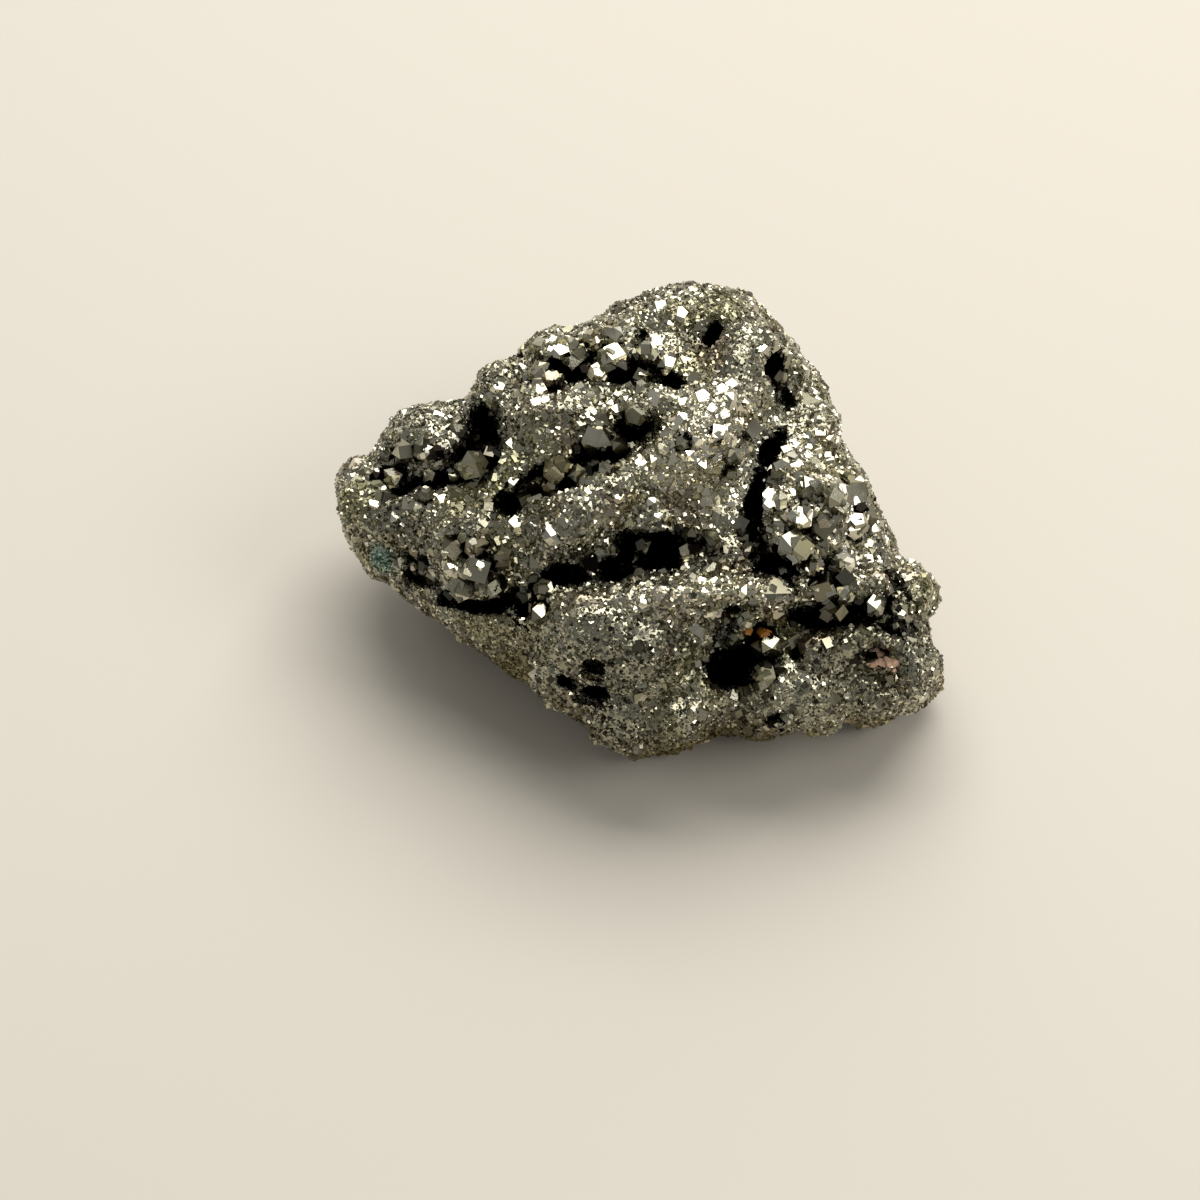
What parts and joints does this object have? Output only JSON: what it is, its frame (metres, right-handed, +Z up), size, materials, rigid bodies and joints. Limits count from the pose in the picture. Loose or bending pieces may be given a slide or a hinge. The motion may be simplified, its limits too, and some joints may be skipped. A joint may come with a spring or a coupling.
{
  "type": "pyrite specimen",
  "caption": "Natural lump of pyrite: a knobbly grey-gold cluster of small cubic and many-sided crystals with dark vugs and clefts, lying on a flat broken base.",
  "frame": {"origin": "on the ground, under the middle of the lump's outline as seen from above", "axes": "+X along the lump's length, towards its heavier right-hand lobe as seen from its show side; +Z up from the flat broken base; the show side with the large vugs faces up and towards -Y"},
  "size_m": [0.066, 0.0538, 0.0351],
  "materials": {
    "pyrite": "tarnished metallic crystal faces, pale brass dulled to grey, bright in glints"
  },
  "bodies": {
    "root": {"pyrite_cluster": "pyrite"}
  },
  "joints": []
}
